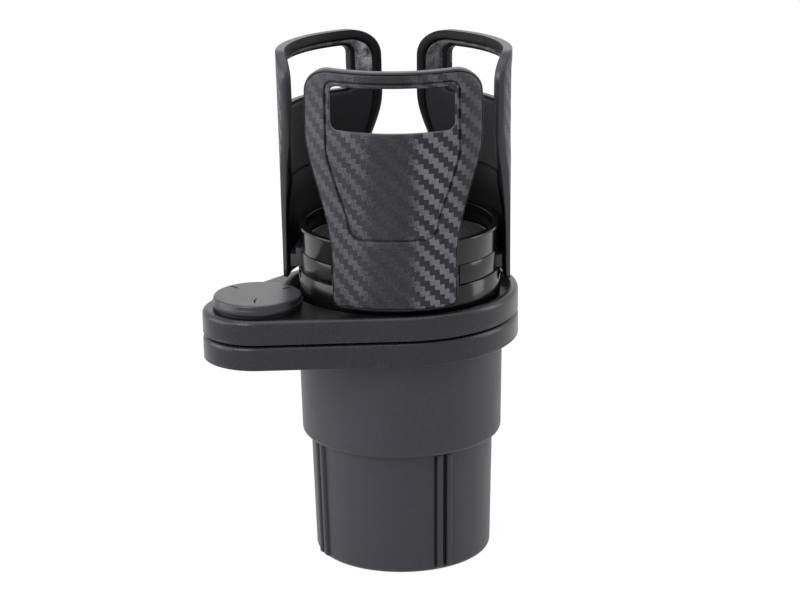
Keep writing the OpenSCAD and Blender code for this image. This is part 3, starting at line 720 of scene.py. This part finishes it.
class HOLDER_OT_pivot_cap(bpy.types.Operator):
    """Builds the pivot cap and its three marks"""

    bl_idname = "holder.pivot_cap"
    bl_label = "Pivot cap"

    def execute(self, context):
        colour = tuple(context.scene.holder_body.plate)
        finish = moulded("cap_plastic", scaled(colour, 1.15), 0.34, specular=0.5, dust=0.05)
        cap_top = 112.85
        cap = chain(
            [0, cap_top], [14.0, cap_top], [15.4, 112.82], arc(15.95, 111.95, 0.85, 88, 10, 8),
            [16.95, 111.3], [17.0, 110.9], [17.08, 110.75], [17.25, 110.7], [17.3, 110.55], [17.3, 109.3],
            [17.22, 108.9], [16.9, 108.6], [16.5, 108.5], [16.5, 107.0], [0, 107.0],
        )[::-1]
        shape = Shape().grid(turned(cap, whole_turn(144), PIVOT))
        shape.piece("pivot_cap_shell", "upper_arm", "satin_black", finish, ["pivot_cap"])
        marks = Shape()
        for turn, reach, long, bend in ((108, 13.0, 2.5, 8), (6, 12.8, 2.0, -8), (239, 9.4, 3.0, 20)):
            a = math.radians(turn)
            way, side = np.array([math.cos(a), math.sin(a)]), np.array([-math.sin(a), math.cos(a)])
            t = np.linspace(-1, 1, 15)
            line = PIVOT + way * (reach + t[:, None] * long) + side * (t[:, None] ** 2 * bend * 0.03)
            wide = 0.40 * np.sqrt(np.clip(1.04 - t**2, 0, 1))
            ring = np.radians(whole_turn(10))
            c, s = np.cos(ring), np.sin(ring)
            rows = np.stack([
                line[:, None, 0] + side[0] * wide[:, None] * c,
                line[:, None, 1] + side[1] * wide[:, None] * c,
                cap_top + wide[:, None] * s * 0.2,
            ], -1)
            marks.grid(rows, ends=True)
        dark = moulded("mark_plastic", (0.002, 0.002, 0.002), 0.8, specular=0.1)
        marks.piece("pivot_cap_marks", "upper_arm", "satin_black", dark)
        return {"FINISHED"}


class HOLDER_OT_ring(bpy.types.Operator):
    """Builds the polished ring: its lower layer, the walls between the sliders, and the collar"""

    bl_idname = "holder.ring"
    bl_label = "Ring"

    def execute(self, context):
        finish = polished("ring_plastic", tuple(context.scene.holder_body.ring), 0.11)
        low = chain(
            [0, DECK], [37.9, DECK], [38.7, DECK - 0.02], [39.0, DECK - 0.12], [39.2, DECK - 0.5],
            [39.2, TROUGH_Z + 0.05],
            [36.9, TROUGH_Z + 0.05], [36.9, DECK - 2], [0, DECK - 2])[::-1]
        shape = Shape().grid(turned(low, whole_turn(192)))
        for middle in (60, 180, 300):
            section = chain(
                [36.2, DECK], [38.1, DECK], [38.4, DECK + 0.15], [38.5, DECK + 0.45],
                [38.5, MID_TOP - 0.5], [38.4, MID_TOP - 0.2], [38.15, MID_TOP - 0.05], [36.2, MID_TOP - 0.05])
            rows = []
            for t in np.linspace(-1, 1, 25):
                reach = 60 - np.degrees(np.arcsin(24.35 / section[:, 0]))
                a = np.radians(middle + t * reach)
                radius, height = section[:, 0], section[:, 1]
                rows.append(np.stack([radius * np.cos(a), radius * np.sin(a), height], -1))
            shape.grid(np.array(rows)[:, ::-1], ends=True)
        shape.piece("ring_base_shell", "upper_arm", "gloss_black", finish, ["ring_base"])
        collar = chain(
            [0, MID_TOP + 2], [35.8, MID_TOP + 2], [36.2, MID_TOP + 2.5], [36.2, COLLAR_TOP - 1.6],
            [36.35, COLLAR_TOP - 1.2], [36.35, COLLAR_TOP - 0.25],
            arc(36.6, COLLAR_TOP - 0.25, 0.25, 180, 90, 4),
            arc(38.6, COLLAR_TOP - 0.3, 0.3, 90, 0, 5), [38.95, COLLAR_TOP - 0.6], [38.95, COLLAR_TOP - 1.0],
            [38.6, COLLAR_TOP - 1.2], [38.5, COLLAR_TOP - 1.5],
            [38.5, MID_TOP + 0.45], [38.35, MID_TOP + 0.12], [38.0, MID_TOP], [0, MID_TOP])[::-1]
        Shape().grid(turned(collar, whole_turn(192))).piece(
            "ring_collar_shell", "upper_arm", "gloss_black", finish, ["ring_collar"])
        return {"FINISHED"}


class HOLDER_OT_claws(bpy.types.Operator):
    """Builds the three claws: satin frame, twill skin with its sunk panel, and dark lining"""

    bl_idname = "holder.claws"
    bl_label = "Claws"

    def execute(self, context):
        settings = context.scene.holder_claws
        # Painted shade: the frames' faces that look towards the axis are made dull black.
        frame_finish = moulded("claw_plastic", tuple(settings.frame), 0.34, specular=0.42, deep=painted_shade_towards_axis)
        skin_finish = twill("twill_skin", tuple(settings.light), tuple(settings.dark), settings.cell)
        # The lining gets painted light near the claws' tops.
        lining_finish = rubber("lining_rubber", tuple(settings.lining), 0.0011, painted_light=1.0)
        edge, panel, window = claw_edge(), panel_edge(), window_edge()
        out, hollow = smooth_normals(edge), lining_edge()
        rim = out * (0.22 + 0.80 * out[:, 1:].clip(0, 1) ** 2)
        for claw in CLAWS:
            self.skin(claw, edge - rim, out, panel, window, skin_finish)
            self.frame(claw, edge, rim, hollow, window, frame_finish)
            self.lining(claw, hollow, lining_finish)
        return {"FINISHED"}

    def skin(self, claw, edge, out, panel, window, finish):
        """From the back's rim out over the rounded edge, down into the panel and through the window."""
        p_out = smooth_normals(panel)
        over, lip, sunk = edge - out * 0.9, panel + p_out * 0.75, panel - p_out * 0.8
        layers = [
            (edge, 42.05), (edge, 42.7), (edge - out * 0.12, 42.98), (edge - out * 0.4, 43.1), (over, SKIN_R),
            *[(loop, SKIN_R) for loop in between(over, lip, 7)],
            (lip, SKIN_R), (panel + p_out * 0.66, 43.08), (panel + p_out * 0.28, 42.6),
            (panel + p_out * 0.24, 42.25), (panel - p_out * 0.06, 42.2), (panel - p_out * 0.12, 42.5),
            (panel - p_out * 0.50, 42.86), (sunk, PANEL_R),
            *[(loop, PANEL_R) for loop in between(sunk, window_edge(0.5), 9)],
            (window_edge(0.5), PANEL_R), (window_edge(0.2), 42.8), (window, 42.5), (window, 42.05),
        ]
        rows, maps = claw_rows(layers, claw)
        Shape().grid(rows, wrap_rows=True, uv=maps).piece(
            "claw_skin_" + claw, "claw_" + claw, "twill_skin", finish, ["claw_cover_" + claw], sharp=50)

    def frame(self, claw, edge, rim, hollow, window, finish):
        """From under the skin out over the rim, down the side, and across the inner face to its hollow."""
        inner, side = inner_radius(edge[:, 1]), CLAW_R - side_depth(edge[:, 1])
        out, h_out = smooth_normals(edge), smooth_normals(hollow)
        side_top = CLAW_R - 1.1
        turned_in, brink = edge - out * 2.6, hollow + h_out * 0.4
        layers = [
            (edge - rim * 0.88, 42.0), (edge - rim * 0.88, 42.75),
            (edge - rim * 0.78, 43.0), (edge - rim * 0.55, 43.16),
            (edge - rim * 0.3, 43.18), (edge - rim * 0.1, 43.05), (edge, 42.75), (edge, side_top),
            *[(edge, side_top + (side - side_top) * t) for t in (0.4, 0.75, 1)],
            *[(edge - out * 2.6 * t, side + (inner - side) * t**0.7) for t in (0.04, 0.12, 0.3, 0.6, 1)],
            *[(loop, inner_radius(loop[:, 1])) for loop in between(turned_in, brink, 12)],
            (brink, 38.6), (hollow + h_out * 0.15, 38.7), (hollow, 38.9), (hollow, FRAME_IN_R),
            *[(loop, FRAME_IN_R) for loop in between(hollow, window_edge(0.3), 4)],
            (window_edge(0.3), FRAME_IN_R), (window_edge(0.06), 40.3), (window, 40.6), (window, 42.0),
        ]
        rows, maps = claw_rows(layers[::-1], claw)
        Shape().grid(rows, wrap_rows=True, uv=maps).piece(
            "claw_frame_shell_" + claw, "claw_" + claw, "satin_black", finish,
            ["claw_frame_" + claw], sharp=50)

    def lining(self, claw, hollow, finish):
        """A soft band with rounded edges, from inside the frame's rim to round the window."""
        inside = smooth_normals(hollow)
        start, end = hollow - inside * 0.45, window_edge(1.2)
        outwards = smooth_normals(end)
        first, last = start - inside * 0.8, end + outwards * 0.6
        layers = [
            (start, 40.1), (start, 39.2), (start - inside * 0.1, 38.95), (start - inside * 0.35, 38.8),
            (first, LINING_R),
            *[(loop, LINING_R) for loop in between(first, last, 14)],
            (last, LINING_R), (end + outwards * 0.25, 38.8), (end + outwards * 0.06, 39.0),
            (end, 39.2), (end, 40.1),
        ]
        rows, maps = claw_rows(layers[::-1], claw)
        Shape().grid(rows, wrap_rows=True, uv=maps).piece(
            "claw_lining_" + claw, "claw_" + claw, "dark_lining", finish, ["claw_pad_" + claw], sharp=60)


class HOLDER_OT_hardware(bpy.types.Operator):
    """Gives every node that stays its finish"""

    bl_idname = "holder.hardware"
    bl_label = "Hardware"

    def execute(self, context):
        body = context.scene.holder_body
        satin = moulded("satin_plastic", tuple(body.plate), 0.42)
        soft = rubber("mat_rubber", (0.012, 0.012, 0.013), 0.0022)
        steel = plated("zinc_steel", (0.50, 0.50, 0.51), 0.28)
        pale = nylon("pale_nylon", (0.70, 0.68, 0.61))
        finishes = {"satin_black": satin, "gloss_black": satin, "twill_skin": satin, "dark_lining": soft,
                    "soft_mat": soft, "screw_steel": steel, "pale_nylon": pale}
        slots = {p["node"]: p["material_slot"] for p in frame["record"]["subparts"]}
        for name, node in frame["nodes"].items():
            if not node.hide_render:
                node.data.materials.clear()
                node.data.materials.append(finishes[slots[name]])
        return {"FINISHED"}


class HOLDER_OT_stage(bpy.types.Operator):
    """Sets the pale floor, the soft lights and the camera"""

    bl_idname = "holder.stage"
    bl_label = "Stage"

    def execute(self, context):
        settings = context.scene.holder_stage
        scene = context.scene
        scene.view_settings.view_transform = "Standard"
        self.floor()
        self.world(scene, settings.room)
        self.lamp("key", (-1.06, -0.56, 1.00), (0, 0, 0.1), (0.7, 0.6), settings.key)
        self.lamp("left", (-1.07, 0.40, 0.40), (0, 0, 0.1), (1.1, 1.0), settings.side)
        self.lamp("right", (0.98, -0.35, 0.40), (0, 0, 0.1), (0.35, 1.0), settings.side * 0.40)
        self.lamp("over", (-0.1, -0.05, 1.45), (0, 0, 0.1), (1.5, 1.3), settings.side)
        self.lamp("back", (0.55, 1.10, 0.55), (0, 0, 0.1), (0.9, 0.35), settings.side * 0.04)
        self.camera(scene)
        return {"FINISHED"}

    def floor(self):
        """A wide pale disc whose middle is flat, under the part."""
        f = Finish("pale_floor")
        camera, mirrored, through = (
            f.node("ShaderNodeLightPath", out=kind)
            for kind in ("Is Camera Ray", "Is Glossy Ray", "Is Transmission Ray"))
        plain = f.node("ShaderNodeBsdfDiffuse", values={"Color": (0.92, 0.92, 0.92, 1)})
        glow = f.node("ShaderNodeEmission", values={"Color": (1, 1, 1, 1), "Strength": 1.05})
        seen = camera.most(mirrored).most(through)
        f.node_output(f.node("ShaderNodeMixShader", values={0: seen * 0.90, 1: plain, 2: glow}))
        disc = np.array([[3000, -0.05], [900, -0.05], [0, -0.05]])
        shape = Shape().grid(turned(disc, whole_turn(96)))
        mesh = bpy.data.meshes.new("floor")
        mesh.from_pydata((np.concatenate(shape.points) * MM).tolist(), [], shape.faces)
        mesh.materials.append(f.material)
        thing = bpy.data.objects.new("floor", mesh)
        bpy.context.scene.collection.objects.link(thing)

    def world(self, scene, strength):
        """White where it is seen, directly or in a reflection, and a lower even light otherwise."""
        world = bpy.data.worlds.new("studio")
        scene.world = world
        world.use_nodes = True
        tree = world.node_tree
        tree.nodes.clear()

        def link(kind, settings=(), **inputs):
            made = tree.nodes.new(kind)
            for key, value in settings:
                setattr(made, key, value)
            for key, value in inputs.items():
                socket = made.inputs[int(key[1:])]
                if isinstance(value, bpy.types.NodeSocket):
                    tree.links.new(value, socket)
                else:
                    socket.default_value = value
            return made.outputs

        path = link("ShaderNodeLightPath")
        greater = (("operation", "MAXIMUM"),)
        seen = link("ShaderNodeMath", greater, _0=path["Is Camera Ray"], _1=path["Is Glossy Ray"])[0]
        seen = link("ShaderNodeMath", greater, _0=seen, _1=path["Is Transmission Ray"])[0]
        white = (1, 1, 1, 1)
        backdrop = link("ShaderNodeBackground", _0=white, _1=1.0)[0]
        light = link("ShaderNodeBackground", _0=white, _1=strength)[0]
        both = link("ShaderNodeMixShader", _0=seen, _1=light, _2=backdrop)[0]
        link("ShaderNodeOutputWorld", _0=both)

    def lamp(self, name, place, aim, size, power):
        """A rectangular light at a place, turned to a point."""
        data = bpy.data.lights.new(name, "AREA")
        data.shape = "RECTANGLE"
        data.size, data.size_y = size
        data.energy = power
        thing = bpy.data.objects.new(name, data)
        thing.location = place
        thing.rotation_euler = (Vector(aim) - Vector(place)).to_track_quat("-Z", "Y").to_euler()
        bpy.context.scene.collection.objects.link(thing)

    def camera(self, scene):
        """The photograph's camera: 27 degrees round to the left, 16.85 down, and rolled by 0.824."""
        data = bpy.data.cameras.new("photo")
        data.sensor_width = 36
        data.lens = 2669 / 800 * data.sensor_width
        data.clip_start, data.clip_end = 0.05, 20
        pitch, side, roll = math.radians(16.85), math.radians(-27), math.radians(0.824)
        level = math.cos(pitch)
        ahead = Vector((math.sin(-side) * level, math.cos(side) * level, -math.sin(pitch)))
        right = Vector((math.cos(side), math.sin(side), 0))
        above = right.cross(ahead)
        turned_right = right * math.cos(roll) - above * math.sin(roll)
        turned_up = right * math.sin(roll) + above * math.cos(roll)
        thing = bpy.data.objects.new("photo", data)
        thing.matrix_world = Matrix((
            (turned_right.x, turned_up.x, -ahead.x, -0.45399),
            (turned_right.y, turned_up.y, -ahead.y, -0.89101),
            (turned_right.z, turned_up.z, -ahead.z, 0.404),
            (0, 0, 0, 1),
        ))
        bpy.context.scene.collection.objects.link(thing)
        scene.camera = thing


class HOLDER_PT_panel(bpy.types.Panel):
    """Lists the pieces and their settings"""

    bl_idname = "HOLDER_PT_panel"
    bl_label = "Cup holder"
    bl_space_type = "VIEW_3D"
    bl_region_type = "UI"
    bl_category = "Cup Holder"

    def draw(self, context):
        scene = context.scene
        for operator in OPERATORS:
            self.layout.operator(operator.bl_idname)
        for group in (scene.holder_claws, scene.holder_body, scene.holder_stage):
            box = self.layout.box()
            for name in group.__annotations__:
                box.prop(group, name)


OPERATORS = (HOLDER_OT_base_cup, HOLDER_OT_plates, HOLDER_OT_pivot_cap, HOLDER_OT_ring, HOLDER_OT_claws,
             HOLDER_OT_hardware, HOLDER_OT_stage)
CLASSES = (ClawSettings, BodySettings, StageSettings, *OPERATORS, HOLDER_PT_panel)


def register():
    for kind in CLASSES:
        bpy.utils.register_class(kind)
    bpy.types.Scene.holder_claws = PointerProperty(type=ClawSettings)
    bpy.types.Scene.holder_body = PointerProperty(type=BodySettings)
    bpy.types.Scene.holder_stage = PointerProperty(type=StageSettings)


def unregister():
    for name in ("holder_claws", "holder_body", "holder_stage"):
        delattr(bpy.types.Scene, name)
    for kind in reversed(CLASSES):
        bpy.utils.unregister_class(kind)


def main():
    """Builds everything in order."""
    register()
    bpy.ops.holder.base_cup()
    bpy.ops.holder.plates()
    bpy.ops.holder.pivot_cap()
    bpy.ops.holder.ring()
    bpy.ops.holder.claws()
    bpy.ops.holder.hardware()
    bpy.ops.holder.stage()


if __name__ == "__main__":
    main()
